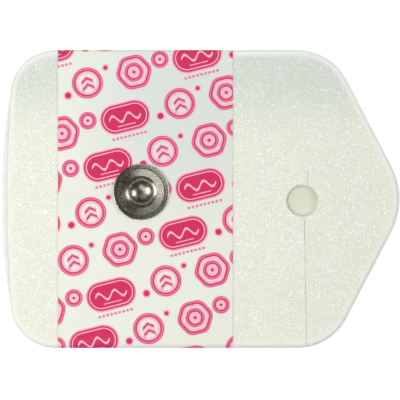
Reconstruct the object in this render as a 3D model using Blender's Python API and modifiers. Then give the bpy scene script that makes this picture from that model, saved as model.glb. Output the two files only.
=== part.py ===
"""Disposable foam monitoring electrode with an offset hole for its lead wire.

A bonded laminate lies flat on its release liner: liner, foam backing, label strip. A metal snap
stud on top and a coated sensor eyelet below clamp the label between them, and a gel pad fills
the foam's round well. The origin is at the middle of the underside, +X points to the nose with
the lead hole and +Z points up, out of the stud.
"""

import math

import bmesh
import bpy
from mathutils import Matrix, Vector

MM = 0.001

# Outline of the laminate, seen from above
OVERALL_LENGTH = 64.4 * MM
FOAM_WIDTH = 48.0 * MM
SHOULDER_X = 21.1 * MM
SHOULDER_RADIUS = 8.7 * MM
NOSE_RADIUS = 11.7 * MM
TAIL_CORNER_RADIUS = 7.2 * MM
FOAM_TAIL_BOW_RADIUS = 230.0 * MM
LINER_TAIL_BOW_RADIUS = 98.0 * MM

# How far the liner shows past the foam
LINER_PAST_TAIL = 0.9 * MM
LINER_PAST_SIDES = 0.1 * MM

# Thicknesses, from the underside up
LINER_THICKNESS = 0.2 * MM
ADHESIVE = 0.05 * MM
FOAM_THICKNESS = 1.0 * MM
LABEL_THICKNESS = 0.1 * MM
SEAT_GAP = 0.05 * MM
FOAM_EDGE_ROUND = 0.7 * MM

# Label strip across the foam
LABEL_WIDTH = 28.2 * MM
LABEL_CENTRE_X = -8.8 * MM
LABEL_WRAP = math.radians(60)
LABEL_HOLE_CLEARANCE = 0.15 * MM

# Hole and slit that hold the lead wire
LEAD_HOLE_X = 16.5 * MM
LEAD_HOLE_Y = -0.3 * MM
LEAD_HOLE_RADIUS = 2.5 * MM
LEAD_HOLE_LIP = 0.15 * MM
SLIT_WIDTH = 0.05 * MM
SLIT_GROOVE_WIDTH = 0.3 * MM
SLIT_GROOVE_DEPTH = 0.12 * MM
UPPER_SLIT_OFFSET = 0.9 * MM
UPPER_SLIT_LENGTH = 2.2 * MM
LOWER_SLIT_OFFSET = 0.35 * MM
LOWER_SLIT_DRIFT = 0.4 * MM

# Snap stud: radii, and heights above the stud's own base
STUD_X = -9.45 * MM
STUD_Y = 1.15 * MM
STUD_SHEET = 0.2 * MM
HEAD_RADIUS = 1.98 * MM
HEAD_DOME_RADIUS = 1.8 * MM
NECK_RADIUS = 1.7 * MM
BOSS_RADIUS = 2.55 * MM
RIM_INNER_RADIUS = 3.75 * MM
FLANGE_RADIUS = 4.5 * MM
STUD_HEIGHT = 2.75 * MM
DOME_HEIGHT = 0.55 * MM
HEAD_LIP_HEIGHT = 0.12 * MM
HEAD_HEIGHT = 1.2 * MM
BOSS_HEIGHT = 1.2 * MM
CONE_HEIGHT = 0.78 * MM
RIM_HEIGHT = 0.5 * MM
BOSS_ROUND = 0.4 * MM
RIM_ROUND = 0.24 * MM

# Sensor eyelet and gel pad
EYELET_FLANGE_RADIUS = 5.0 * MM
EYELET_FLANGE_THICKNESS = 0.3 * MM
EYELET_TIP_SWELL = 0.12 * MM
WELL_RADIUS = 9.0 * MM
GEL_CLEARANCE = 0.3 * MM

# Facets
CORNER_STEPS = 14
BOW_STEPS = 12
EDGE_STEPS = 5
TURNED_STEPS = 48
HOLE_STEPS = 48

# Cutters reach this far past the faces that they open
CUT_PAST = 1.0 * MM
WELD = 0.0001 * MM
FLAT = math.radians(0.1)

# Levels that follow from the stack
LINER_TOP = LINER_THICKNESS
FOAM_BOTTOM = LINER_TOP + ADHESIVE
FOAM_TOP = FOAM_BOTTOM + FOAM_THICKNESS
LABEL_BOTTOM = FOAM_TOP + ADHESIVE
LABEL_TOP = LABEL_BOTTOM + LABEL_THICKNESS
STUD_BASE = LABEL_TOP + SEAT_GAP
EYELET_TOP = LABEL_BOTTOM - SEAT_GAP
EYELET_BOTTOM = EYELET_TOP - EYELET_FLANGE_THICKNESS
POST_RADIUS = NECK_RADIUS - STUD_SHEET - SEAT_GAP
HEAD_LIP_BOTTOM = STUD_HEIGHT - DOME_HEIGHT - 3 * HEAD_LIP_HEIGHT


def clear_scene():
    """Remove whatever the scene holds."""
    for item in list(bpy.data.objects):
        bpy.data.objects.remove(item)


def new_collection(name):
    """A collection linked to the scene."""
    collection = bpy.data.collections.new(name)
    bpy.context.scene.collection.children.link(collection)
    return collection


def material(name, colour, roughness, metallic=0.0, alpha=1.0):
    """A Principled material with one plain colour."""
    made = bpy.data.materials.new(name)
    made.use_nodes = True
    shader = made.node_tree.nodes["Principled BSDF"]
    shader.inputs["Base Color"].default_value = (*colour, 1.0)
    shader.inputs["Roughness"].default_value = roughness
    shader.inputs["Metallic"].default_value = metallic
    shader.inputs["Alpha"].default_value = alpha
    return made


def arc(centre, radius, start, end, steps):
    """Points along an arc, both ends included, with angles in radians."""
    points = []
    for step in range(steps + 1):
        angle = start + (end - start) * step / steps
        x = centre[0] + radius * math.cos(angle)
        y = centre[1] + radius * math.sin(angle)
        points.append((x, y))
    return points


def laminate_outline(tail_x, nose_x, half_width, corner_radius, shoulder_radius, bow_radius):
    """Closed outline, anticlockwise: nose, shoulder, corner and bowed tail, each one arc."""
    nose_centre_x = nose_x - NOSE_RADIUS
    to_shoulder = Vector((SHOULDER_X - nose_centre_x, half_width))
    lean = math.atan2(to_shoulder.y, to_shoulder.x) - math.acos(NOSE_RADIUS / to_shoulder.length)

    shoulder_y = half_width - shoulder_radius
    side_reach = SHOULDER_X * math.cos(lean) + half_width * math.sin(lean)
    shoulder_x = (side_reach - shoulder_radius - shoulder_y * math.sin(lean)) / math.cos(lean)

    corner_y = half_width - corner_radius
    bow_centre_x = tail_x + bow_radius
    corner_x = bow_centre_x - math.sqrt((bow_radius - corner_radius) ** 2 - corner_y ** 2)
    bow_end = math.pi - math.asin(corner_y / (bow_radius - corner_radius))

    upper = arc((nose_centre_x, 0.0), NOSE_RADIUS, 0.0, lean, CORNER_STEPS // 2)
    upper += arc((shoulder_x, shoulder_y), shoulder_radius, lean, math.pi / 2, CORNER_STEPS)
    upper += arc((corner_x, corner_y), corner_radius, math.pi / 2, bow_end, CORNER_STEPS)
    upper += arc((bow_centre_x, 0.0), bow_radius, bow_end, math.pi, BOW_STEPS // 2)[1:]
    lower = [(x, -y) for x, y in reversed(upper[1:-1])]
    return upper + lower


def extruded(name, outline, thickness, matrix):
    """A closed mesh: the outline filled and extruded by the thickness about its own plane."""
    curve = bpy.data.curves.new(name, "CURVE")
    curve.dimensions = "2D"
    curve.fill_mode = "BOTH"
    curve.extrude = thickness / 2
    spline = curve.splines.new("POLY")
    spline.points.add(len(outline) - 1)
    for point, (x, y) in zip(spline.points, outline):
        point.co = (x, y, 0.0, 1.0)
    spline.use_cyclic_u = True

    guide = bpy.data.objects.new(name + "_guide", curve)
    bpy.context.scene.collection.objects.link(guide)
    guide.matrix_world = matrix
    bpy.context.view_layer.update()
    evaluated = guide.evaluated_get(bpy.context.evaluated_depsgraph_get())
    mesh = bpy.data.meshes.new_from_object(evaluated)
    mesh.name = name

    solid = bmesh.new()
    solid.from_mesh(mesh)
    bmesh.ops.remove_doubles(solid, verts=solid.verts, dist=WELD)
    bmesh.ops.recalc_face_normals(solid, faces=solid.faces)
    solid.normal_update()
    bmesh.ops.dissolve_limit(solid, angle_limit=FLAT, verts=solid.verts, edges=solid.edges)
    solid.to_mesh(mesh)
    solid.free()

    made = bpy.data.objects.new(name, mesh)
    made.matrix_world = matrix.copy()
    bpy.data.objects.remove(guide)
    return made


def turned(name, profile, steps, location):
    """A body turned about a vertical axis from a profile of (radius, height)."""
    mesh = bpy.data.meshes.new(name)
    points = [(radius, 0.0, height) for radius, height in profile]
    edges = [(index, index + 1) for index in range(len(points) - 1)]
    mesh.from_pydata(points, edges, [])
    made = bpy.data.objects.new(name, mesh)
    made.location = location
    screw = made.modifiers.new("Turn", "SCREW")
    screw.axis = "Z"
    screw.angle = math.tau
    screw.steps = steps
    screw.render_steps = steps
    screw.use_merge_vertices = True
    screw.merge_threshold = WELD
    screw.use_smooth_shade = True
    return made


def place(piece, collection, finish):
    """Put a finished piece in its collection with its material."""
    collection.objects.link(piece)
    piece.data.materials.clear()
    piece.data.materials.append(finish)
    return piece


def as_cutter(piece, collection):
    """Mark a body as a cutter that is never part of the object."""
    collection.objects.link(piece)
    piece.hide_render = True
    piece.display_type = "WIRE"
    return piece


def cut(piece, cutter):
    """Subtract the cutter from the piece."""
    boolean = piece.modifiers.new("Cut " + cutter.name, "BOOLEAN")
    boolean.operation = "DIFFERENCE"
    boolean.solver = "EXACT"
    boolean.object = cutter


def smooth_by_angle(piece, degrees):
    """Shade a mesh smooth, with its sharp corners kept."""
    piece.data.shade_smooth()
    piece.data.set_sharp_from_angle(angle=math.radians(degrees))


def release_liner(parts):
    """Clear film under the adhesive, larger than the foam and bowed out at the tail."""
    outline = laminate_outline(
        -OVERALL_LENGTH / 2,
        OVERALL_LENGTH / 2,
        FOAM_WIDTH / 2 + LINER_PAST_SIDES,
        TAIL_CORNER_RADIUS + LINER_PAST_SIDES,
        SHOULDER_RADIUS + LINER_PAST_SIDES,
        LINER_TAIL_BOW_RADIUS,
    )
    middle = Matrix.Translation((0.0, 0.0, LINER_THICKNESS / 2))
    film = extruded("release_liner", outline, LINER_THICKNESS, middle)
    clear_film = material("clear_polyester_film", (0.86, 0.87, 0.88), 0.12, alpha=0.35)
    return place(film, parts, clear_film)


def round_top_edge(piece, top, radius):
    """Round the outline's edge on the piece's top face."""
    solid = bmesh.new()
    solid.from_mesh(piece.data)
    rim = []
    for edge in solid.edges:
        if all(vert.co.z > top - WELD for vert in edge.verts):
            rim.append(edge)
    bmesh.ops.bevel(
        solid,
        geom=rim,
        offset=radius,
        offset_type="OFFSET",
        segments=EDGE_STEPS,
        profile=0.5,
        affect="EDGES",
        clamp_overlap=False,
    )
    solid.to_mesh(piece.data)
    solid.free()


def lead_hole_cutter(cutters):
    """Round punch with a flared top, which leaves a soft lip on the hole."""
    flared = LEAD_HOLE_RADIUS + LEAD_HOLE_LIP + CUT_PAST
    profile = [
        (0.0, FOAM_TOP + CUT_PAST),
        (flared, FOAM_TOP + CUT_PAST),
        (LEAD_HOLE_RADIUS, FOAM_TOP - LEAD_HOLE_LIP),
        (LEAD_HOLE_RADIUS, FOAM_BOTTOM - CUT_PAST),
        (0.0, FOAM_BOTTOM - CUT_PAST),
    ]
    punch = turned("lead_hole_punch", profile, HOLE_STEPS, (LEAD_HOLE_X, LEAD_HOLE_Y, 0.0))
    return as_cutter(punch, cutters)


def slit_cutter(name, start, end, cutters):
    """Thin blade between two points, widened at the foam's top into a shallow groove."""
    along = Vector(end) - Vector(start)
    blade = SLIT_WIDTH / 2
    flare = (SLIT_GROOVE_WIDTH / 2 - blade) / SLIT_GROOVE_DEPTH
    flared = SLIT_GROOVE_WIDTH / 2 + flare * CUT_PAST
    section = [
        (-blade, FOAM_BOTTOM - CUT_PAST),
        (blade, FOAM_BOTTOM - CUT_PAST),
        (blade, FOAM_TOP - SLIT_GROOVE_DEPTH),
        (flared, FOAM_TOP + CUT_PAST),
        (-flared, FOAM_TOP + CUT_PAST),
        (-blade, FOAM_TOP - SLIT_GROOVE_DEPTH),
    ]
    middle = Vector(start) + along / 2
    turn = Matrix.Rotation(math.atan2(along.y, along.x) + math.pi / 2, 4, "Z")
    upright = Matrix.Rotation(math.pi / 2, 4, "X")
    matrix = Matrix.Translation((middle.x, middle.y, 0.0)) @ turn @ upright
    return as_cutter(extruded(name, section, along.length, matrix), cutters)


def foam_backing(parts, cutters):
    """Die-cut foam with its pinched round edge, gel well, lead hole and slit."""
    nose_x = OVERALL_LENGTH / 2 - LINER_PAST_SIDES
    outline = laminate_outline(
        -OVERALL_LENGTH / 2 + LINER_PAST_TAIL,
        nose_x,
        FOAM_WIDTH / 2,
        TAIL_CORNER_RADIUS,
        SHOULDER_RADIUS,
        FOAM_TAIL_BOW_RADIUS,
    )
    middle = Matrix.Translation((0.0, 0.0, FOAM_BOTTOM + FOAM_THICKNESS / 2))
    foam = extruded("foam_backing", outline, FOAM_THICKNESS, middle)
    round_top_edge(foam, FOAM_THICKNESS / 2, FOAM_EDGE_ROUND)
    smooth_by_angle(foam, 40)

    well_profile = [
        (0.0, FOAM_TOP + CUT_PAST),
        (WELL_RADIUS, FOAM_TOP + CUT_PAST),
        (WELL_RADIUS, FOAM_BOTTOM - CUT_PAST),
        (0.0, FOAM_BOTTOM - CUT_PAST),
    ]
    well = turned("gel_well_punch", well_profile, HOLE_STEPS, (STUD_X, STUD_Y, 0.0))
    upper_slit_x = LEAD_HOLE_X + UPPER_SLIT_OFFSET
    upper_slit_end = LEAD_HOLE_Y + LEAD_HOLE_RADIUS + UPPER_SLIT_LENGTH
    lower_slit_x = LEAD_HOLE_X + LOWER_SLIT_OFFSET
    cut(foam, as_cutter(well, cutters))
    cut(foam, lead_hole_cutter(cutters))
    upper_slit = slit_cutter(
        "upper_slit_blade",
        (upper_slit_x, upper_slit_end),
        (upper_slit_x, LEAD_HOLE_Y),
        cutters,
    )
    lower_slit = slit_cutter(
        "lower_slit_blade",
        (lower_slit_x, LEAD_HOLE_Y),
        (lower_slit_x + LOWER_SLIT_DRIFT, -FOAM_WIDTH / 2 - CUT_PAST),
        cutters,
    )
    cut(foam, upper_slit)
    cut(foam, lower_slit)
    white_foam = material("white_polyethylene_foam", (0.79, 0.82, 0.7), 0.6)
    return place(foam, parts, white_foam)


def label_strip(parts, cutters):
    """Printed film across the foam, pressed down over the foam's round edges."""
    flat = FOAM_WIDTH / 2 - FOAM_EDGE_ROUND
    level = FOAM_TOP - FOAM_EDGE_ROUND
    inner = FOAM_EDGE_ROUND + ADHESIVE
    outer = inner + LABEL_THICKNESS
    upright = math.pi / 2
    section = arc((flat, level), inner, upright - LABEL_WRAP, upright, EDGE_STEPS)
    section += arc((-flat, level), inner, upright, upright + LABEL_WRAP, EDGE_STEPS)
    section += arc((-flat, level), outer, upright + LABEL_WRAP, upright, EDGE_STEPS)
    section += arc((flat, level), outer, upright, upright - LABEL_WRAP, EDGE_STEPS)

    across = Matrix.Rotation(math.pi / 2, 4, "Z") @ Matrix.Rotation(math.pi / 2, 4, "X")
    matrix = Matrix.Translation((LABEL_CENTRE_X, 0.0, 0.0)) @ across
    strip = extruded("label_strip", section, LABEL_WIDTH, matrix)
    smooth_by_angle(strip, 40)

    hole_radius = POST_RADIUS + LABEL_HOLE_CLEARANCE
    hole_profile = [
        (0.0, LABEL_TOP + CUT_PAST),
        (hole_radius, LABEL_TOP + CUT_PAST),
        (hole_radius, LABEL_BOTTOM - CUT_PAST),
        (0.0, LABEL_BOTTOM - CUT_PAST),
    ]
    punch = turned("post_hole_punch", hole_profile, HOLE_STEPS, (STUD_X, STUD_Y, 0.0))
    cut(strip, as_cutter(punch, cutters))
    printed_film = material("printed_white_film", (0.8, 0.83, 0.79), 0.3)
    return place(strip, parts, printed_film)


def stud_profile():
    """Outer line of the drawn stud, from the crown of its head down to its rolled rim."""
    crown = []
    shoulder_height = STUD_HEIGHT - DOME_HEIGHT
    for step in range(8):
        angle = math.pi / 2 * step / 8
        radius = HEAD_DOME_RADIUS * math.sin(angle)
        crown.append((radius, shoulder_height + DOME_HEIGHT * math.cos(angle)))
    head_bottom = STUD_HEIGHT - HEAD_HEIGHT
    head = [
        (HEAD_DOME_RADIUS, shoulder_height),
        (HEAD_RADIUS, shoulder_height - HEAD_LIP_HEIGHT),
        (HEAD_RADIUS, HEAD_LIP_BOTTOM),
    ]
    neck = [
        (NECK_RADIUS, head_bottom),
        (NECK_RADIUS, BOSS_HEIGHT),
    ]
    boss_centre = (BOSS_RADIUS - BOSS_ROUND, BOSS_HEIGHT - BOSS_ROUND)
    boss = arc(boss_centre, BOSS_ROUND, math.pi / 2, 0.0, EDGE_STEPS)
    cone = [
        (BOSS_RADIUS, CONE_HEIGHT),
        (RIM_INNER_RADIUS, RIM_HEIGHT),
    ]
    rim_centre = (FLANGE_RADIUS - RIM_ROUND, RIM_HEIGHT - RIM_ROUND)
    rim = arc(rim_centre, RIM_ROUND, math.pi / 2, 0.0, EDGE_STEPS)
    rim.append((FLANGE_RADIUS, 0.0))
    return crown + head + neck + boss + cone + rim


def snap_stud(parts):
    """Metal snap drawn from sheet: domed head, neck, boss and flange, hollow inside."""
    stud = turned("snap_stud", stud_profile(), TURNED_STEPS, (STUD_X, STUD_Y, STUD_BASE))
    wall = stud.modifiers.new("Sheet", "SOLIDIFY")
    wall.thickness = STUD_SHEET
    wall.offset = -1.0
    wall.use_even_offset = True
    nickel = material("nickel_plated_brass", (0.55, 0.53, 0.46), 0.3, metallic=1.0)
    return place(stud, parts, nickel)


def sensor_eyelet(parts):
    """Coated moulding under the label, with a post pressed up into the hollow stud."""
    neck_top = STUD_BASE + STUD_HEIGHT - HEAD_HEIGHT
    tip_top = STUD_BASE + STUD_HEIGHT - DOME_HEIGHT - STUD_SHEET - SEAT_GAP
    tip_radius = POST_RADIUS + EYELET_TIP_SWELL
    tip_bottom = STUD_BASE + HEAD_LIP_BOTTOM
    profile = [
        (0.0, tip_top),
        (POST_RADIUS, tip_top),
        (tip_radius, (tip_top + tip_bottom) / 2),
        (tip_radius, tip_bottom),
        (POST_RADIUS, neck_top),
        (POST_RADIUS, EYELET_TOP),
        (EYELET_FLANGE_RADIUS, EYELET_TOP),
        (EYELET_FLANGE_RADIUS, EYELET_BOTTOM),
        (0.0, EYELET_BOTTOM),
    ]
    eyelet = turned("sensor_eyelet", profile, TURNED_STEPS, (STUD_X, STUD_Y, 0.0))
    coated = material("silver_chloride_coated_plastic", (0.28, 0.27, 0.26), 0.55)
    return place(eyelet, parts, coated)


def gel_pad(parts):
    """Sponge disc soaked with gel, pressed up round the eyelet's flange."""
    recess_radius = EYELET_FLANGE_RADIUS + GEL_CLEARANCE
    profile = [
        (0.0, EYELET_BOTTOM - SEAT_GAP),
        (recess_radius, EYELET_BOTTOM - SEAT_GAP),
        (recess_radius, FOAM_TOP),
        (WELL_RADIUS - GEL_CLEARANCE, FOAM_TOP),
        (WELL_RADIUS - GEL_CLEARANCE, FOAM_BOTTOM),
        (0.0, FOAM_BOTTOM),
    ]
    pad = turned("gel_pad", profile, TURNED_STEPS, (STUD_X, STUD_Y, 0.0))
    wet_sponge = material("gel_soaked_sponge", (0.62, 0.72, 0.78), 0.15)
    return place(pad, parts, wet_sponge)


clear_scene()
electrode = new_collection("ecg_electrode")
tools = new_collection("cutters")
release_liner(electrode)
foam_backing(electrode, tools)
label_strip(electrode, tools)
snap_stud(electrode)
sensor_eyelet(electrode)
gel_pad(electrode)
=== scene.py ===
"""Looks of a disposable foam monitoring electrode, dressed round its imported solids."""

import math

import bmesh
import bpy
from mathutils import Matrix, Vector, noise
from mathutils.bvhtree import BVHTree


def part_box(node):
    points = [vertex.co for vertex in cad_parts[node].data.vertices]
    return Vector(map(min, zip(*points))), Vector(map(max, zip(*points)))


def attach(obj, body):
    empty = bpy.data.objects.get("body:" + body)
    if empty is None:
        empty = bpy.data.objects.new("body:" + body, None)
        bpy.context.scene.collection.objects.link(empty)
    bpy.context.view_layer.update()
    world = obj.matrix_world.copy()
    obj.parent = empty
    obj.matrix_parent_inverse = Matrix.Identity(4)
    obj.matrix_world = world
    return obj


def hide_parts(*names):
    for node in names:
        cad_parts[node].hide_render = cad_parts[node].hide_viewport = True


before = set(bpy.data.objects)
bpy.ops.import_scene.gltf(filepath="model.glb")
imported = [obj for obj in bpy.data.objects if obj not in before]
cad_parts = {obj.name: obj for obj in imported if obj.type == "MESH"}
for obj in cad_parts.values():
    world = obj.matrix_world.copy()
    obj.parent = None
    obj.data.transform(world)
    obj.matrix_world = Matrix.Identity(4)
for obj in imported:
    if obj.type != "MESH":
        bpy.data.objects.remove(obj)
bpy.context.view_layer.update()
MM = 0.001

# Release liner: clear polyester film, silicone coated so that the adhesive lets go of it. It is
# cut a little larger than the foam and lies under the whole electrode. Its flat solid is right,
# so only its finish is made here.


def linear(hex_colour):
    """An sRGB hex colour as linear red, green, blue and alpha."""
    parts = []
    for start in (0, 2, 4):
        value = int(hex_colour[start : start + 2], 16) / 255
        parts.append(value / 12.92 if value <= 0.04045 else ((value + 0.055) / 1.055) ** 2.4)
    return (*parts, 1.0)


def add_node(material, kind, sockets, **settings):
    """Add a shader node with its settings. Each socket is given a value or a link."""
    node = material.node_tree.nodes.new("ShaderNode" + kind)
    for name, value in settings.items():
        setattr(node, name, value)
    for socket, value in sockets.items():
        if isinstance(value, bpy.types.NodeSocket):
            material.node_tree.links.new(value, node.inputs[socket])
        else:
            node.inputs[socket].default_value = value
    return node


def empty_material(name):
    """A material whose node tree is empty."""
    made = bpy.data.materials.new(name)
    made.use_nodes = True
    made.node_tree.nodes.clear()
    return made


def refinish(node_name, material):
    """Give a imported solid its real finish."""
    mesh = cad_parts[node_name].data
    mesh.materials.clear()
    mesh.materials.append(material)


# Polyester film, silicone coated: glossy, with faint rub marks that soften its shine, and only
# slightly milky. Round the lead hole, at the foot of its well, it is painted darker, greener and
# less clear, as painted shade of the well.
LEAD_HOLE = Vector((16.5, -0.3, 0.2)) * MM
LEAD_HOLE_RADIUS = 2.5 * MM
WELL_SHADE_REACH = 3.5 * MM
RUB_MARK_SPACING = 1.5 * MM
film = empty_material("clear_siliconed_polyester_film")
film_place = add_node(film, "TexCoord", {}).outputs["Object"]
film_rubs = add_node(
    film,
    "TexNoise",
    {"Vector": film_place, "Scale": 1 / RUB_MARK_SPACING, "Detail": 4.0},
)
film_shine = add_node(
    film,
    "MapRange",
    {"Value": film_rubs.outputs["Fac"], "To Min": 0.08, "To Max": 0.22},
)
from_hole = add_node(film, "VectorMath", {0: film_place, 1: LEAD_HOLE}, operation="DISTANCE")
# Painted shade of the well: round the lead hole the film is drawn darker, greener and less clear.
well_shade = add_node(
    film,
    "Math",
    {0: from_hole.outputs["Value"], 1: WELL_SHADE_REACH},
    operation="LESS_THAN",
)
film_tone = add_node(
    film,
    "Mix",
    {"Factor": well_shade.outputs["Value"], 6: linear("F7F8F6"), 7: linear("DFE2D2")},
    data_type="RGBA",
)
film_cover = add_node(
    film,
    "MapRange",
    {"Value": well_shade.outputs["Value"], "To Min": 0.36, "To Max": 0.92},
)
film_shader = add_node(
    film,
    "BsdfPrincipled",
    {
        "Base Color": film_tone.outputs[2],
        "Roughness": film_shine.outputs["Result"],
        "IOR": 1.57,
        "Alpha": film_cover.outputs["Result"],
    },
)
add_node(film, "OutputMaterial", {"Surface": film_shader.outputs["BSDF"]})
refinish("release_liner", film)

# Foam backing: white closed-cell polyethylene foam, one millimetre thick and die-cut, so its top
# edge is pinched round. The lead wire is pushed through the slit into the round hole.
WELD = 0.0005 * MM
FLAT_ANGLE = math.radians(0.5)
SMOOTH_ANGLE = math.radians(50)
SLICE = 0.4 * MM
SWELL_HEIGHT = 0.03 * MM
SWELL_LENGTH = 6.0 * MM
PINCHED_BAND = 1.1 * MM
HOLE_LIP_REACH = 3.25 * MM
SLIT_GROOVE_REACH = 1.2 * MM
SLIT_MARGIN = 0.6 * MM
SLIT_CLOSING = 0.03 * MM
SLIT_SAG = 0.14 * MM
SLIT_SAG_REACH = 0.6 * MM
SLIT_SAG_DEPTH = 0.42 * MM
SLIT_SAG_CURVE = 1.5
SLIT_LIP_TONE = 0.85
FACING_UP = 0.7
UPPER_SLIT_END = 3.9 * MM
UPPER_SLIT = Vector((17.4, -0.3, 0.0)) * MM
LOWER_SLIT = Vector((16.85, -0.3, 0.0)) * MM
LOWER_SLIT_LENGTH = 24.7 * MM
LOWER_SLIT_SHIFT = -0.4 * MM
LOWER_SLIT_LEAN = LOWER_SLIT_SHIFT / LOWER_SLIT_LENGTH


def copy_of_node(name):
    """A welded bmesh of a node's solid, with its flat faces whole."""
    solid = bmesh.new()
    solid.from_mesh(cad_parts[name].data)
    bmesh.ops.remove_doubles(solid, verts=solid.verts, dist=WELD)
    bmesh.ops.dissolve_limit(solid, angle_limit=FLAT_ANGLE, verts=solid.verts, edges=solid.edges)
    return solid


def cut_through(solid, point, direction, clear=False):
    """Cut all faces along a plane, and clear what lies past it where asked to."""
    bmesh.ops.bisect_plane(
        solid,
        geom=solid.verts[:] + solid.edges[:] + solid.faces[:],
        plane_co=point,
        plane_no=direction,
        dist=WELD,
        clear_outer=clear,
    )


def finished(solid, name, material):
    """Make the bmesh a piece that rides on the electrode's one body."""
    mesh = bpy.data.meshes.new(name)
    solid.to_mesh(mesh)
    solid.free()
    mesh.shade_smooth()
    mesh.set_sharp_from_angle(angle=SMOOTH_ANGLE)
    mesh.materials.append(material)
    piece = bpy.data.objects.new(name, mesh)
    bpy.context.scene.collection.objects.link(piece)
    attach(piece, "root")
    return piece


foam_low, foam_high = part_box("foam_backing")
label_low, label_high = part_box("label_strip")

# Of this copy only the steep faces of the outer edge stay. A point's distance from them tells
# whether it lies in the band that the die has pinched.
outer_wall = copy_of_node("foam_backing")
inside = []
for face in outer_wall.faces:
    middle = face.calc_center_median()
    beside_slit = abs(middle.x - LEAD_HOLE.x) < SLIT_GROOVE_REACH
    by_slit = beside_slit and abs(middle.y) < foam_high.y - SLIT_MARGIN
    by_hole = (middle - LEAD_HOLE).length < HOLE_LIP_REACH
    if abs(face.normal.z) > FACING_UP or by_slit or by_hole:
        inside.append(face)
bmesh.ops.delete(outer_wall, geom=inside, context="FACES")
wall_tree = BVHTree.FromBMesh(outer_wall)
outer_wall.free()

# The skin swells a little over its cells. The two slits close by themselves, and their lips sag.
foam_body = copy_of_node("foam_backing")
for axis in (0, 1):
    across = Vector((1.0 - axis, axis, 0.0))
    for index in range(1, math.floor((foam_high[axis] - foam_low[axis]) / SLICE)):
        cut_through(foam_body, across * (foam_low[axis] + index * SLICE), across)
for slit, lean in ((UPPER_SLIT, 0.0), (LOWER_SLIT, LOWER_SLIT_LEAN)):
    across = Vector((1.0, -lean, 0.0)).normalized()
    for step in (-3, -2, -1, 1, 2, 3):
        cut_through(foam_body, slit + across * SLIT_SAG_REACH * step / 3, across)
from_edge = foam_body.verts.layers.float.new("from_edge")
for vert in foam_body.verts:
    slit_x = UPPER_SLIT.x
    if vert.co.y < LOWER_SLIT.y:
        slit_x = LOWER_SLIT.x + LOWER_SLIT_LEAN * (vert.co.y - LOWER_SLIT.y)
    if abs(vert.co.x - slit_x) < SLIT_CLOSING:
        vert.co.x = slit_x
    vert[from_edge] = min(wall_tree.find_nearest(vert.co)[3] / PINCHED_BAND, 1.0)
    beside_label = max(label_low.x - vert.co.x, vert.co.x - label_high.x)
    if vert.co.z > foam_high.z - WELD and beside_label > 0:
        fade = min(beside_label / SWELL_LENGTH, 1.0)
        vert.co.z += SWELL_HEIGHT * fade * noise.noise(vert.co / SWELL_LENGTH)
    from_slit = abs(vert.co.x - slit_x) / SLIT_SAG_REACH
    at_top = vert.co.z > foam_high.z - SLIT_SAG_DEPTH
    if from_slit < 1 and vert.co.y < UPPER_SLIT_END and at_top:
        vert.co.z -= SLIT_SAG * (1 - from_slit) ** SLIT_SAG_CURVE
        # The lips join the pinched band, with its pale painted sheen and fewer painted glints.
        lip_tone = SLIT_LIP_TONE + (1 - SLIT_LIP_TONE) * from_slit
        vert[from_edge] = min(vert[from_edge], lip_tone)

# Extruded polyethylene foam, skinned on its rollers: matt white with a trace of yellow-green, and
# light soaks into it. The rims of the cells stand up in the skin as short curls, denser in patches,
# and their glints are painted in as bright specks. Along the cut edge the die has pressed the cells
# flat, which leaves a smooth band, painted pale and neutral as the sheen of the rounded edge. The
# wall that it cut round the lead hole is painted white, as painted light, and the farthest part is
# painted a shade greyer, as painted shade. The curls and the cells are drawn coarser than real
# ones, or they wouldn't show.
CURL_WIDTH = 0.22 * MM
CURL_PATCH = 1.6 * MM
CELL_WIDTH = 0.36 * MM
TONE_SPACING = 9.0 * MM
SKIN_DEPTH = 0.05 * MM
HOLE_WALL_LIGHT_WIDTH = 0.22 * MM
PAINTED_SHADE_FROM = 9.0 * MM
PAINTED_SHADE_FULL = 20.0 * MM
LIGHT_SOAK = 0.9 * MM
foam = empty_material("closed_cell_polyethylene_foam")
foam_place = add_node(foam, "TexCoord", {}).outputs["Object"]
foam_band = add_node(foam, "Attribute", {}, attribute_name="from_edge")
foam_inner = add_node(foam, "MapRange", {"Value": foam_band.outputs["Fac"], "From Min": 0.35})
foam_curling = add_node(
    foam,
    "TexNoise",
    {"Vector": foam_place, "Scale": 1 / CURL_WIDTH, "Detail": 0.0, "Distortion": 0.6},
)
foam_crests = add_node(
    foam,
    "MapRange",
    {"Value": foam_curling.outputs["Fac"], "From Min": 0.52, "From Max": 0.57},
)
foam_patches = add_node(
    foam,
    "TexNoise",
    {"Vector": foam_place, "Scale": 1 / CURL_PATCH, "Detail": 2.0},
)
foam_curled = add_node(
    foam,
    "MapRange",
    {"Value": foam_patches.outputs["Fac"], "From Min": 0.28, "From Max": 0.52},
)
foam_curl_glints = add_node(
    foam,
    "Math",
    {0: foam_crests.outputs["Result"], 1: foam_curled.outputs["Result"]},
    operation="MULTIPLY",
)
foam_glint = add_node(
    foam,
    "Math",
    {0: foam_curl_glints.outputs["Value"], 1: foam_inner.outputs["Result"]},
    operation="MULTIPLY",
)
foam_tones = add_node(
    foam,
    "TexNoise",
    {"Vector": foam_place, "Scale": 1 / TONE_SPACING, "Detail": 2.0},
)
foam_ground = add_node(
    foam,
    "Mix",
    {"Factor": foam_tones.outputs["Fac"], 6: linear("E1E5D7"), 7: linear("E8EBDD")},
    data_type="RGBA",
)
foam_axes = add_node(foam, "SeparateXYZ", {"Vector": foam_place})
# Painted shade: the farthest part is drawn greyer.
rear_painted_shade = add_node(
    foam,
    "MapRange",
    {"Value": foam_axes.outputs["Y"], "From Min": PAINTED_SHADE_FROM, "From Max": PAINTED_SHADE_FULL},
    interpolation_type="SMOOTHSTEP",
)
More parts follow.
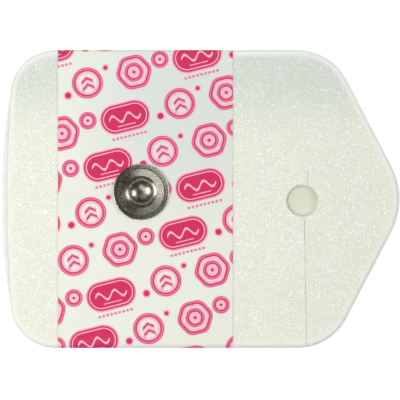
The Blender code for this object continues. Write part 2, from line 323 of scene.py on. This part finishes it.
# Painted glints: where the curls crest, the colour is drawn near white.
foam_lit = add_node(
    foam,
    "Mix",
    {"Factor": foam_glint.outputs["Value"], 6: foam_ground.outputs[2], 7: linear("FDFFF4")},
    data_type="RGBA",
)
foam_shade = add_node(
    foam,
    "Mix",
    {"Factor": rear_painted_shade.outputs["Result"], 6: foam_lit.outputs[2], 7: linear("ECF0F4")},
    data_type="RGBA",
    blend_type="MULTIPLY",
)
# Painted light: the cut wall round the lead hole is drawn white.
foam_from_hole = add_node(foam, "VectorMath", {0: foam_place, 1: LEAD_HOLE}, operation="DISTANCE")
hole_wall_painted_light = add_node(
    foam,
    "MapRange",
    {
        "Value": foam_from_hole.outputs["Value"],
        "From Min": LEAD_HOLE_RADIUS + HOLE_WALL_LIGHT_WIDTH,
        "From Max": LEAD_HOLE_RADIUS,
    },
)
foam_face = add_node(
    foam,
    "Mix",
    {"Factor": hole_wall_painted_light.outputs["Result"], 6: foam_shade.outputs[2], 7: linear("FFFFFF")},
    data_type="RGBA",
)
# The pinched band is drawn pale and neutral: smooth skin, with a painted sheen on the rounded edge.
foam_colour = add_node(
    foam,
    "Mix",
    {"Factor": foam_inner.outputs["Result"], 6: linear("ECEEE9"), 7: foam_face.outputs[2]},
    data_type="RGBA",
)
foam_cells = add_node(
    foam,
    "TexVoronoi",
    {"Vector": foam_place, "Scale": 1 / CELL_WIDTH},
    feature="SMOOTH_F1",
)
foam_height = add_node(
    foam,
    "Math",
    {0: foam_cells.outputs["Distance"], 1: foam_glint.outputs["Value"]},
    operation="ADD",
)
foam_grain = add_node(foam, "MapRange", {"Value": foam_inner.outputs["Result"], "To Min": 0.12})
foam_bump = add_node(
    foam,
    "Bump",
    {
        "Height": foam_height.outputs["Value"],
        "Strength": foam_grain.outputs["Result"],
        "Distance": SKIN_DEPTH,
    },
)
foam_shader = add_node(
    foam,
    "BsdfPrincipled",
    {
        "Base Color": foam_colour.outputs[2],
        "Roughness": 0.45,
        "IOR": 1.5,
        "Normal": foam_bump.outputs["Normal"],
        "Subsurface Weight": 0.3,
        "Subsurface Radius": (1.0, 1.0, 0.9),
        "Subsurface Scale": LIGHT_SOAK,
    },
)
add_node(foam, "OutputMaterial", {"Surface": foam_shader.outputs["BSDF"]})
foam_piece = finished(foam_body, "foam_backing_skin", foam)
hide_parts("foam_backing")

# Gel pad: a disc of open-cell polyurethane sponge soaked with clear electrolyte gel. It is closed
# in between foam, label and liner, and keeps its solid.

# Open-cell sponge, foamed in a block, sliced and soaked: wet and shiny, pale blue, with its pores
# painted darker than its web, as painted shade in their hollows.
SPONGE_PORE = 0.5 * MM
sponge = empty_material("gel_soaked_polyurethane_sponge")
sponge_place = add_node(sponge, "TexCoord", {}).outputs["Object"]
sponge_pores = add_node(sponge, "TexVoronoi", {"Vector": sponge_place, "Scale": 1 / SPONGE_PORE})
# Painted shade: the pores are drawn darker than the web.
sponge_tone = add_node(
    sponge,
    "Mix",
    {"Factor": sponge_pores.outputs["Distance"], 6: linear("A9C3D2"), 7: linear("D3E2E9")},
    data_type="RGBA",
)
sponge_shader = add_node(
    sponge,
    "BsdfPrincipled",
    {"Base Color": sponge_tone.outputs[2], "Roughness": 0.15, "IOR": 1.36},
)
add_node(sponge, "OutputMaterial", {"Surface": sponge_shader.outputs["BSDF"]})
refinish("gel_pad", sponge)

# Sensor eyelet: moulded plastic with a silver and silver chloride coat, pressed up through the
# label into the stud. It is hidden and keeps its solid.

# Silver chloride, grown on plated silver: a dull, fine-grained grey with no metal shine.
CHLORIDE_GRAIN = 0.15 * MM
chloride = empty_material("silver_chloride_coated_plastic")
chloride_place = add_node(chloride, "TexCoord", {}).outputs["Object"]
chloride_grain = add_node(chloride, "TexNoise", {"Vector": chloride_place, "Scale": 1 / CHLORIDE_GRAIN})
chloride_tone = add_node(
    chloride,
    "Mix",
    {"Factor": chloride_grain.outputs["Fac"], 6: linear("6E6A68"), 7: linear("8D8A86")},
    data_type="RGBA",
)
chloride_shader = add_node(
    chloride,
    "BsdfPrincipled",
    {"Base Color": chloride_tone.outputs[2], "Roughness": 0.6, "IOR": 1.5},
)
add_node(chloride, "OutputMaterial", {"Surface": chloride_shader.outputs["BSDF"]})
refinish("sensor_eyelet", chloride)

# Label strip: white polypropylene film, stuck across the foam and cut off flush with it, so its
# ends bend down over the pinched edge. The stud clamps it to the eyelet.
label_body = copy_of_node("label_strip")

# Cast polypropylene film with a semi-gloss face: nearly smooth, with a soft large wave where it
# follows the foam, and an orange peel, drawn coarser than the real one. Round the middle of its far
# half it is painted a shade cooler and darker, as painted shade.
FILM_WAVE = 9.0 * MM
FILM_WAVE_DEPTH = 0.25 * MM
FILM_PEEL = 0.5 * MM
FILM_PEEL_DEPTH = 0.008 * MM
PAINTED_SHADE_CENTRE = Vector((-3.0, 13.0, 1.4)) * MM
PAINTED_SHADE_RADIUS = 4.4 * MM
PAINTED_SHADE_REACH = 22.0 * MM
label_film = empty_material("white_polypropylene_label_film")
label_place = add_node(label_film, "TexCoord", {}).outputs["Object"]
label_wave = add_node(
    label_film,
    "TexNoise",
    {"Vector": label_place, "Scale": 1 / FILM_WAVE, "Detail": 0.0},
)
label_peel = add_node(
    label_film,
    "TexNoise",
    {"Vector": label_place, "Scale": 1 / FILM_PEEL, "Detail": 2.0},
)
label_bend = add_node(
    label_film,
    "Bump",
    {"Height": label_wave.outputs["Fac"], "Strength": 1.0, "Distance": FILM_WAVE_DEPTH},
)
label_bump = add_node(
    label_film,
    "Bump",
    {
        "Height": label_peel.outputs["Fac"],
        "Strength": 0.4,
        "Distance": FILM_PEEL_DEPTH,
        "Normal": label_bend.outputs["Normal"],
    },
)
# Painted shade: cooler and darker round a spot in the far half.
from_painted_shade = add_node(
    label_film,
    "VectorMath",
    {0: label_place, 1: PAINTED_SHADE_CENTRE},
    operation="DISTANCE",
)
label_out_of_shade = add_node(
    label_film,
    "MapRange",
    {
        "Value": from_painted_shade.outputs["Value"],
        "From Min": PAINTED_SHADE_RADIUS,
        "From Max": PAINTED_SHADE_REACH,
    },
    interpolation_type="SMOOTHSTEP",
)
label_tone = add_node(
    label_film,
    "Mix",
    {"Factor": label_out_of_shade.outputs["Result"], 6: linear("D4DAD6"), 7: linear("E2E5DA")},
    data_type="RGBA",
)
label_shader = add_node(
    label_film,
    "BsdfPrincipled",
    {
        "Base Color": label_tone.outputs[2],
        "Roughness": 0.35,
        "IOR": 1.49,
        "Normal": label_bump.outputs["Normal"],
    },
)
add_node(label_film, "OutputMaterial", {"Surface": label_shader.outputs["BSDF"]})
label_piece = finished(label_body, "label_film", label_film)
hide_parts("label_strip")

# Print: flexographic inks on the label, a pale pink, a rose and a deep magenta, each laid on the
# one before. The motifs repeat on a slanted lattice and run off the strip's sides, as print does
# on film cut from a roll. The layers are drawn a little thicker than ink, so that they lie clear.
INK_THICKNESS = 0.006 * MM
INK_LIFT = 0.004 * MM
INK_STEP = 0.008 * MM
EDGE_ROUND = 0.7 * MM
WRAP_ANGLE = math.radians(60)
WRAP_STEPS = 6
PRINT_TILT = math.radians(14)
LATTICE_ALONG = 9.1 * MM
LATTICE_ACROSS = 6.8 * MM
ROWS = 6
COLUMNS = 4
LINE = 0.5 * MM
HALO = 0.19 * MM
CORE = 0.25 * MM
HAIRLINE = 0.1 * MM
HAIRLINE_GAP = 0.08 * MM
DOT_RIM = 0.1 * MM
CIRCLE_SIDES = 40
CORNER_SEGMENTS = 5
POST_CLEARANCE = 1.8 * MM

stud_low, stud_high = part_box("snap_stud")
stud_middle = (stud_low + stud_high) / 2
label_middle = (label_low + label_high) / 2
flat_half = foam_high.y - EDGE_ROUND
bend_level = foam_high.z - EDGE_ROUND
bend_radius = label_high.z - bend_level
wrap_length = bend_radius * WRAP_ANGLE

pale_ink = bmesh.new()
rose_ink = bmesh.new()
magenta_ink = bmesh.new()
top_ink = bmesh.new()


def disc(radius, sides=CIRCLE_SIDES, corner=0.0, stretch=0.0, stroke=0.0):
    """A flat disc or polygon, pulled out along X to a bar, or only its rim where it has a stroke."""
    shape = bmesh.new()
    start = Matrix.Rotation(math.pi / sides, 4, "Z")
    bmesh.ops.create_circle(shape, cap_ends=True, radius=radius, segments=sides, matrix=start)
    if corner:
        bmesh.ops.bevel(
            shape,
            geom=shape.verts[:],
            offset=corner,
            segments=CORNER_SEGMENTS,
            profile=0.5,
            affect="VERTICES",
            material=-1,
        )
    for vert in shape.verts:
        vert.co.x += math.copysign(stretch / 2, vert.co.x)
    if stroke:
        middle = shape.faces[:]
        bmesh.ops.inset_region(
            shape,
            faces=middle,
            thickness=stroke,
            use_boundary=True,
            use_even_offset=True,
        )
        bmesh.ops.delete(shape, geom=middle, context="FACES")
    return shape


def stripe(length, width, bend=None, segments=1):
    """A flat stripe along X, whose middle line is raised by bend(x)."""
    shape = bmesh.new()
    bmesh.ops.create_grid(shape, x_segments=segments, y_segments=1, size=0.5)
    for vert in shape.verts:
        x = vert.co.x * length
        vert.co = Vector((x, vert.co.y * width + (bend(x) if bend else 0.0), 0.0))
    return shape


def stamp(layer, shape, place):
    """Add a flat shape to an ink layer."""
    bmesh.ops.transform(shape, matrix=place, verts=shape.verts)
    mesh = bpy.data.meshes.new("stamp")
    shape.to_mesh(mesh)
    shape.free()
    layer.from_mesh(mesh)
    bpy.data.meshes.remove(mesh)


def moved(place, x, y):
    """A place shifted in its own plane."""
    return place @ Matrix.Translation((x, y, 0.0))


def print_outline(place, radius, sides=CIRCLE_SIDES, corner=0.0, filled=False):
    """Print a closed line in three inks, with a hairline round it, on a pale rim or a pale field."""
    pale_width = 0.0 if filled else LINE + 3 * HALO
    stamp(pale_ink, disc(radius + HALO, sides, corner, stroke=pale_width), place)
    stamp(rose_ink, disc(radius, sides, corner, stroke=LINE), place)
    stamp(magenta_ink, disc(radius - LINE + CORE, sides, corner, stroke=CORE), place)
    stamp(magenta_ink, disc(radius + HAIRLINE_GAP, sides, corner, stroke=HAIRLINE), place)


def print_stripe(place, length, bend=None, segments=1):
    """Print an open line in the same three inks."""
    stamp(pale_ink, stripe(length + 2 * HALO, LINE + 2 * HALO, bend, segments), place)
    stamp(rose_ink, stripe(length + HALO, LINE, bend, segments), place)
    stamp(magenta_ink, stripe(length, CORE, bend, segments), place)


def print_dot(place, radius, border=0.0):
    """Print a magenta dot with a rose rim, and a pale border where asked to."""
    stamp(pale_ink, disc(radius + border), place)
    stamp(rose_ink, disc(radius), place)
    stamp(magenta_ink, disc(radius - DOT_RIM), place)


HEXAGON_SIDES = 6
HEXAGON_RADIUS = 3.0 * MM
HEXAGON_CORNER = 0.8 * MM
INNER_HEXAGON_RADIUS = 1.65 * MM
INNER_HEXAGON_CORNER = 0.6 * MM
HEXAGON_DOT = 0.32 * MM
SIDE_RING_RADIUS = 1.3 * MM
SIDE_RING_DOT = 0.3 * MM


def print_ringed_hexagon(place):
    """Print a rounded hexagon round a smaller one, with a dotted ring at its side."""
    hexagon = moved(place, -1.4 * MM, -0.1 * MM)
    print_outline(hexagon, HEXAGON_RADIUS, HEXAGON_SIDES, HEXAGON_CORNER)
    print_outline(hexagon, INNER_HEXAGON_RADIUS, HEXAGON_SIDES, INNER_HEXAGON_CORNER, filled=True)
    print_dot(hexagon, HEXAGON_DOT)
    ring = moved(place, 3.15 * MM, 0.9 * MM)
    print_outline(ring, SIDE_RING_RADIUS)
    print_dot(ring, SIDE_RING_DOT)


BAR_STRETCH = 3.3 * MM
BAR_RADIUS = 2.5 * MM
BAR_ROSE_RIM = 0.14 * MM
BAR_MAGENTA_RIM = 0.3 * MM
BAR_LINE_RIM = 0.55 * MM
BAR_LINE = 0.16 * MM
WAVE_LENGTH = 5.2 * MM
WAVE_WIDTH = 0.4 * MM
WAVE_HEIGHT = 0.6 * MM
WAVE_TURNING = 2.4 / MM
WAVE_STEPS = 48
UNDERLINE_LENGTH = 3.0 * MM
UNDERLINE_WIDTH = 0.14 * MM
UNDERLINE_DROP = 1.25 * MM
DASHES = 9
DASH_SIZE = 0.42 * MM
DASH_PITCH = 0.66 * MM
DASH_DROP = 3.1 * MM


def wave(x):
    """The height of the wave on a bar."""
    return WAVE_HEIGHT * math.sin(WAVE_TURNING * x)


def print_wave_bar(place):
    """Print a solid round-ended bar with pale lines and a wave on it, over a row of dashes."""
    stamp(pale_ink, disc(BAR_RADIUS, stretch=BAR_STRETCH), place)
    stamp(rose_ink, disc(BAR_RADIUS - BAR_ROSE_RIM, stretch=BAR_STRETCH), place)
    stamp(magenta_ink, disc(BAR_RADIUS - BAR_MAGENTA_RIM, stretch=BAR_STRETCH), place)
    stamp(top_ink, disc(BAR_RADIUS - BAR_LINE_RIM, stretch=BAR_STRETCH, stroke=BAR_LINE), place)
    stamp(top_ink, stripe(WAVE_LENGTH, WAVE_WIDTH, wave, WAVE_STEPS), place)
    stamp(top_ink, stripe(UNDERLINE_LENGTH, UNDERLINE_WIDTH), moved(place, 0.0, -UNDERLINE_DROP))
    for index in range(DASHES):
        along = (index - (DASHES - 1) / 2) * DASH_PITCH
        stamp(rose_ink, stripe(DASH_SIZE, DASH_SIZE), moved(place, along, -DASH_DROP))


CHEVRON_RING_RADIUS = 2.4 * MM
CHEVRON_LENGTH = 1.7 * MM
CHEVRON_HEIGHT = 0.3 * MM
CHEVRON_SLOPE = 0.7
LARGE_DOT = 0.55 * MM
SMALL_DOT = 0.4 * MM


def chevron(x):
    """The height of a chevron, highest in the middle."""
    return CHEVRON_HEIGHT - CHEVRON_SLOPE * abs(x)


def print_chevron_ring(place):
    """Print a ring round two chevrons, with two dots beside it."""
    print_outline(place, CHEVRON_RING_RADIUS)
    for height in (-0.55 * MM, 0.5 * MM):
        print_stripe(moved(place, 0.0, height), CHEVRON_LENGTH, chevron, 2)
    print_dot(moved(place, -3.5 * MM, -1.2 * MM), LARGE_DOT, HALO)
    print_dot(moved(place, 3.4 * MM, 1.7 * MM), SMALL_DOT, HALO)


motifs = (print_ringed_hexagon, print_wave_bar, print_chevron_ring)
strip_place = Matrix.Translation((label_middle.x, 0.0, 0.0)) @ Matrix.Rotation(PRINT_TILT, 4, "Z")
for row in range(-ROWS, ROWS + 1):
    for column in range(-COLUMNS, COLUMNS + 1):
        along = (column + 0.5 * (row % 2)) * LATTICE_ALONG
        motif = motifs[(column + 2 * row) % len(motifs)]
        motif(moved(strip_place, along, row * LATTICE_ACROSS))


def lay_ink(layer, height):
    """Trim a flat ink layer to the strip, clear it round the eyelet's post and bend it on the film."""
    sideways = Vector((1.0, 0.0, 0.0))
    upwards = Vector((0.0, 1.0, 0.0))
    cut_through(layer, sideways * label_high.x, sideways, True)
    cut_through(layer, sideways * label_low.x, -sideways, True)
    for side in (upwards, -upwards):
        cut_through(layer, side * (flat_half + wrap_length), side, True)
        for step in range(WRAP_STEPS):
            cut_through(layer, side * (flat_half + wrap_length * step / WRAP_STEPS), side)
    for side in (sideways, -sideways, upwards, -upwards):
        cut_through(layer, stud_middle + side * POST_CLEARANCE, side)
    round_post = []
    for face in layer.faces:
        beside = face.calc_center_median() - stud_middle
        if max(abs(beside.x), abs(beside.y)) < POST_CLEARANCE:
            round_post.append(face)
    bmesh.ops.delete(layer, geom=round_post, context="FACES")
    bmesh.ops.recalc_face_normals(layer, faces=layer.faces)
    raised = bmesh.ops.extrude_face_region(layer, geom=layer.faces[:])
    top = [item for item in raised["geom"] if isinstance(item, bmesh.types.BMVert)]
    bmesh.ops.translate(layer, verts=top, vec=(0.0, 0.0, INK_THICKNESS))
    for vert in layer.verts:
        flat = min(abs(vert.co.y), flat_half)
        turn = (abs(vert.co.y) - flat) / bend_radius
        radius = bend_radius + height + vert.co.z
        vert.co.y = math.copysign(flat + radius * math.sin(turn), vert.co.y)
        vert.co.z = bend_level + radius * math.cos(turn)
    bmesh.ops.recalc_face_normals(layer, faces=layer.faces)
    return layer


# Flexographic ink, ultraviolet cured: opaque, as glossy as the film, and a shade uneven where the
# printing plate squeezed it thin. The unevenness is drawn coarser than the real one.
INK_UNEVENNESS = 0.8 * MM


def ink_material(name, full_colour, thin_colour):
    """A cured ink with a slightly uneven lay."""
    ink = empty_material(name)
    place = add_node(ink, "TexCoord", {}).outputs["Object"]
    lay = add_node(ink, "TexNoise", {"Vector": place, "Scale": 1 / INK_UNEVENNESS, "Detail": 3.0})
    tone = add_node(
        ink,
        "Mix",
        {"Factor": lay.outputs["Fac"], 6: linear(full_colour), 7: linear(thin_colour)},
        data_type="RGBA",
    )
    shader = add_node(
        ink,
        "BsdfPrincipled",
        {"Base Color": tone.outputs[2], "Roughness": 0.35, "IOR": 1.5},
    )
    add_node(ink, "OutputMaterial", {"Surface": shader.outputs["BSDF"]})
    return ink


pale_pink = ink_material("pale_pink_flexographic_ink", "EDB4C6", "F0C0CE")
rose = ink_material("rose_flexographic_ink", "E8709A", "EA7FA5")
magenta = ink_material("magenta_flexographic_ink", "C92459", "D2305F")
ink_layers = (
    ("pale_print", pale_ink, pale_pink),
    ("rose_print", rose_ink, rose),
    ("magenta_print", magenta_ink, magenta),
    ("pale_print_on_magenta", top_ink, pale_pink),
)
for order, (name, layer, ink) in enumerate(ink_layers):
    finished(lay_ink(layer, INK_LIFT + order * INK_STEP), name, ink)

# Snap stud: drawn from thin brass sheet and nickel plated. A domed head with a lip, a neck and a
# boss stand on a shallow cone, whose rim is rolled under. It is crimped on the eyelet's post.
STUD_STEPS = 128
FILLET_STEPS = 6
DOME_STEPS = 14
DOME_RADIUS = 1.94 * MM
DOME_CURVE = 2.74 * MM
DOME_TOP = 2.75 * MM
LIP_RADIUS = 1.99 * MM
NECK_RADIUS = 1.7 * MM
BOSS_TOP = 1.2 * MM
BOSS_RADIUS = 2.54 * MM
CONE_RADIUS = 3.7 * MM
CONE_FOOT = 0.5 * MM
RIM_RADIUS = 4.5 * MM
SHEET = 0.2 * MM


def filleted(corners):
    """A turned profile from corners of radius, height and fillet, each rounded by its fillet."""
    points = []
    for index, (radius, height, fillet) in enumerate(corners):
        here = Vector((radius, 0.0, height))
        if not fillet:
            points.append(here)
            continue
        before = (Vector((corners[index - 1][0], 0.0, corners[index - 1][1])) - here).normalized()
        after = (Vector((corners[index + 1][0], 0.0, corners[index + 1][1])) - here).normalized()
        half_angle = before.angle(after) / 2
        reach = fillet / math.tan(half_angle)
        centre = here + (before + after).normalized() * fillet / math.sin(half_angle)
        first = (here + before * reach - centre).normalized()
        last = (here + after * reach - centre).normalized()
        for step in range(FILLET_STEPS + 1):
            points.append(centre + first.slerp(last, step / FILLET_STEPS) * fillet)
    return points


# Radius, height over the stud's foot, and fillet of each corner: down the outside from the dome
# over the lip, neck, boss, cone and rim, and back up the inside of the sheet to the axis.
stud_corners = []
dome_reach = math.asin(DOME_RADIUS / DOME_CURVE)
for step in range(DOME_STEPS + 1):
    angle = dome_reach * step / DOME_STEPS
    dome_drop = DOME_CURVE * (1 - math.cos(angle))
    stud_corners.append((DOME_CURVE * math.sin(angle), DOME_TOP - dome_drop, 0.0))
stud_corners += [
    (LIP_RADIUS, 1.89 * MM, 0.04 * MM),
    (LIP_RADIUS, 1.7 * MM, 0.06 * MM),
    (NECK_RADIUS + 0.02 * MM, 1.5 * MM, 0.08 * MM),
    (NECK_RADIUS, BOSS_TOP, 0.12 * MM),
    (2.08 * MM, BOSS_TOP, 0.2 * MM),
    (BOSS_RADIUS, 0.95 * MM, 0.12 * MM),
    (BOSS_RADIUS + 0.04 * MM, 0.73 * MM, 0.04 * MM),
    (CONE_RADIUS, CONE_FOOT, 0.02 * MM),
    (CONE_RADIUS + 0.12 * MM, CONE_FOOT + 0.01 * MM, 0.04 * MM),
    (RIM_RADIUS - 0.12 * MM, 0.455 * MM, 0.06 * MM),
    (RIM_RADIUS, 0.42 * MM, 0.02 * MM),
    (RIM_RADIUS, 0.0, 0.0),
    (RIM_RADIUS - SHEET, 0.0, 0.0),
    (RIM_RADIUS - SHEET, CONE_FOOT - SHEET, 0.05 * MM),
    (CONE_RADIUS, CONE_FOOT - SHEET, 0.0),
    (2.35 * MM, 0.58 * MM, 0.05 * MM),
    (2.35 * MM, BOSS_TOP - SHEET, 0.2 * MM),
    (NECK_RADIUS - SHEET, BOSS_TOP - SHEET, 0.05 * MM),
    (NECK_RADIUS - SHEET, 1.6 * MM, 0.0),
    (1.7 * MM, 1.8 * MM, 0.0),
    (1.5 * MM, 2.0 * MM, 0.0),
    (1.1 * MM, 2.3 * MM, 0.0),
    (0.0, 2.5 * MM, 0.0),
]
stud_body = bmesh.new()
profile = [stud_body.verts.new(point) for point in filleted(stud_corners)]
for first, second in zip(profile, profile[1:]):
    stud_body.edges.new((first, second))
bmesh.ops.spin(
    stud_body,
    geom=stud_body.verts[:] + stud_body.edges[:],
    axis=(0.0, 0.0, 1.0),
    cent=(0.0, 0.0, 0.0),
    angle=math.tau,
    steps=STUD_STEPS,
    use_merge=True,
)
bmesh.ops.remove_doubles(stud_body, verts=stud_body.verts, dist=WELD)
bmesh.ops.recalc_face_normals(stud_body, faces=stud_body.faces)
stud_place = Vector((stud_middle.x, stud_middle.y, stud_low.z))
bmesh.ops.translate(stud_body, verts=stud_body.verts, vec=stud_place)

# Nickel plate on drawn brass: a warm grey metal. The punch has burnished the head, which mirrors
# its surroundings, and the flange keeps the grain that drawing gives the sheet, whose pits are
# painted darker, as painted shade in them. The grain is drawn coarser than the real one, or it
# wouldn't show.
GRAIN_WIDTH = 0.22 * MM
GRAIN_DEPTH = 0.017 * MM
RUB_WIDTH = 0.7 * MM
BURNISHED_FROM = stud_low.z + 0.74 * MM
FULLY_BURNISHED = stud_low.z + 0.9 * MM
nickel = empty_material("satin_nickel_plate")
nickel_place = add_node(nickel, "TexCoord", {}).outputs["Object"]
nickel_axes = add_node(nickel, "SeparateXYZ", {"Vector": nickel_place})
nickel_burnish = add_node(
    nickel,
    "MapRange",
    {
        "Value": nickel_axes.outputs["Z"],
        "From Min": BURNISHED_FROM,
        "From Max": FULLY_BURNISHED,
    },
)
nickel_grain = add_node(
    nickel,
    "TexNoise",
    {"Vector": nickel_place, "Scale": 1 / GRAIN_WIDTH, "Detail": 1.0},
)
nickel_rubs = add_node(
    nickel,
    "TexNoise",
    {"Vector": nickel_place, "Scale": 1 / RUB_WIDTH, "Detail": 4.0},
)
nickel_shine = add_node(
    nickel,
    "MapRange",
    {"Value": nickel_rubs.outputs["Fac"], "From Min": 0.3, "From Max": 0.7, "To Max": 0.1},
)
nickel_base_shine = add_node(
    nickel,
    "MapRange",
    {"Value": nickel_burnish.outputs["Result"], "To Min": 0.18, "To Max": 0.22},
)
nickel_roughness = add_node(
    nickel,
    "Math",
    {0: nickel_shine.outputs["Result"], 1: nickel_base_shine.outputs["Result"]},
    operation="ADD",
)
nickel_tone = add_node(
    nickel,
    "Mix",
    {"Factor": nickel_rubs.outputs["Fac"], 6: linear("BCB7A6"), 7: linear("DAD6C8")},
    data_type="RGBA",
)
# Painted shade: the grain's pits are drawn darker.
nickel_pit_shade = add_node(
    nickel,
    "MapRange",
    {"Value": nickel_grain.outputs["Fac"], "From Min": 0.32, "From Max": 0.5},
)
nickel_face = add_node(
    nickel,
    "Mix",
    {"Factor": nickel_pit_shade.outputs["Result"], 6: linear("9D9888"), 7: nickel_tone.outputs[2]},
    data_type="RGBA",
)
nickel_relief = add_node(
    nickel,
    "MapRange",
    {"Value": nickel_burnish.outputs["Result"], "To Min": 1.0, "To Max": 0.3},
)
nickel_bump = add_node(
    nickel,
    "Bump",
    {
        "Height": nickel_grain.outputs["Fac"],
        "Strength": nickel_relief.outputs["Result"],
        "Distance": GRAIN_DEPTH,
    },
)
nickel_shader = add_node(
    nickel,
    "BsdfPrincipled",
    {
        "Base Color": nickel_face.outputs[2],
        "Metallic": 1.0,
        "Roughness": nickel_roughness.outputs["Value"],
        "Normal": nickel_bump.outputs["Normal"],
    },
)
add_node(nickel, "OutputMaterial", {"Surface": nickel_shader.outputs["BSDF"]})
stud_piece = finished(stud_body, "snap_stud_shell", nickel)
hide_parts("snap_stud")

# Stage: a plain pale card under the electrode. It shows white where the light reaches it and
# keeps the electrode's soft shadow.
FLOOR_SIZE = 0.8
FLOOR_DROP = 0.02 * MM
floor_body = bmesh.new()
bmesh.ops.create_grid(floor_body, x_segments=1, y_segments=1, size=FLOOR_SIZE / 2)
bmesh.ops.translate(floor_body, verts=floor_body.verts, vec=(0.0, 0.0, -FLOOR_DROP))
floor_mesh = bpy.data.meshes.new("floor")
floor_body.to_mesh(floor_mesh)
floor_body.free()
floor = bpy.data.objects.new("floor", floor_mesh)
bpy.context.scene.collection.objects.link(floor)

# White card: matt, with a glow that only what looks at it or mirrors it gets, so that it shows as
# white as paper and sends no more light to the electrode.
CARD_GLOW = 0.4
card = empty_material("white_card")
card_rays = add_node(card, "LightPath", {})
card_looked_at = add_node(
    card,
    "Math",
    {0: card_rays.outputs["Is Camera Ray"], 1: card_rays.outputs["Is Glossy Ray"]},
    operation="MAXIMUM",
)
card_seen = add_node(
    card,
    "Math",
    {0: card_looked_at.outputs["Value"], 1: card_rays.outputs["Is Transmission Ray"]},
    operation="MAXIMUM",
)
card_glow = add_node(
    card,
    "Math",
    {0: card_seen.outputs["Value"], 1: CARD_GLOW},
    operation="MULTIPLY",
)
card_shader = add_node(
    card,
    "BsdfPrincipled",
    {
        "Base Color": linear("E6E6E6"),
        "Roughness": 0.9,
        "Emission Color": (1.0, 1.0, 1.0, 1.0),
        "Emission Strength": card_glow.outputs["Value"],
    },
)
add_node(card, "OutputMaterial", {"Surface": card_shader.outputs["BSDF"]})
floor_mesh.materials.append(card)

# Light and camera: broad soft panels at the right, overhead and in front, and three small near
# ones, at the left, behind and overhead. The last two bring up the pale foam and film, and gloss
# and metal don't mirror them. The room is dim, and the camera looks straight down.
CAMERA_HEIGHT = 0.3
FRAME_SPAN = 64.52 * MM
FRAME_DROP = 0.16 * MM
SENSOR = 36.0
ROOM_LIGHT = 0.06


def soft_panel(name, bearing, from_zenith, distance, width, height, radiance, colour):
    """A rectangular soft panel of a given radiance, aimed at the electrode, with angles in degrees."""
    light = bpy.data.lights.new(name, "AREA")
    light.shape = "RECTANGLE"
    light.size = width
    light.size_y = height
    light.energy = radiance * math.pi * width * height
    light.color = linear(colour)[:3]
    panel = bpy.data.objects.new(name, light)
    bpy.context.scene.collection.objects.link(panel)
    across = math.sin(math.radians(from_zenith)) * distance
    rise = math.cos(math.radians(from_zenith)) * distance
    turn = math.radians(bearing)
    panel.location = (across * math.cos(turn), across * math.sin(turn), rise)
    panel.rotation_euler = (-panel.location).to_track_quat("-Z", "Y").to_euler()
    return panel


soft_panel("right_panel", 10, 50, 1.2, 0.8, 0.5, 3.2, "FFFFFF")
soft_panel("left_panel", 191, 51, 0.25, 0.11, 0.08, 4.4, "FFFDF4")
soft_panel("ceiling_panel", 42, 25, 1.2, 1.7, 0.62, 0.92, "FFFFFF")
soft_panel("front_panel", 298, 32, 1.2, 0.8, 0.8, 0.3, "FFFFFF")
soft_panel("rear_panel", 85, 68, 0.13, 0.12, 0.045, 1.3, "E4EEFF").visible_glossy = False
soft_panel("fill_panel", 192, 17, 0.205, 0.17, 0.08, 6.15, "FFFEFA").visible_glossy = False

room = bpy.data.worlds.new("room")
room.use_nodes = True
room_light = room.node_tree.nodes["Background"]
room_light.inputs["Color"].default_value = (1.0, 1.0, 1.0, 1.0)
room_light.inputs["Strength"].default_value = ROOM_LIGHT
bpy.context.scene.world = room

camera = bpy.data.cameras.new("camera")
camera.sensor_width = SENSOR
camera.lens = SENSOR * CAMERA_HEIGHT / FRAME_SPAN
camera.clip_start = 0.01
camera_rig = bpy.data.objects.new("camera", camera)
camera_rig.location = (0.0, -FRAME_DROP, foam_high.z + CAMERA_HEIGHT)
bpy.context.scene.collection.objects.link(camera_rig)
bpy.context.scene.camera = camera_rig
bpy.context.scene.view_settings.view_transform = "Standard"
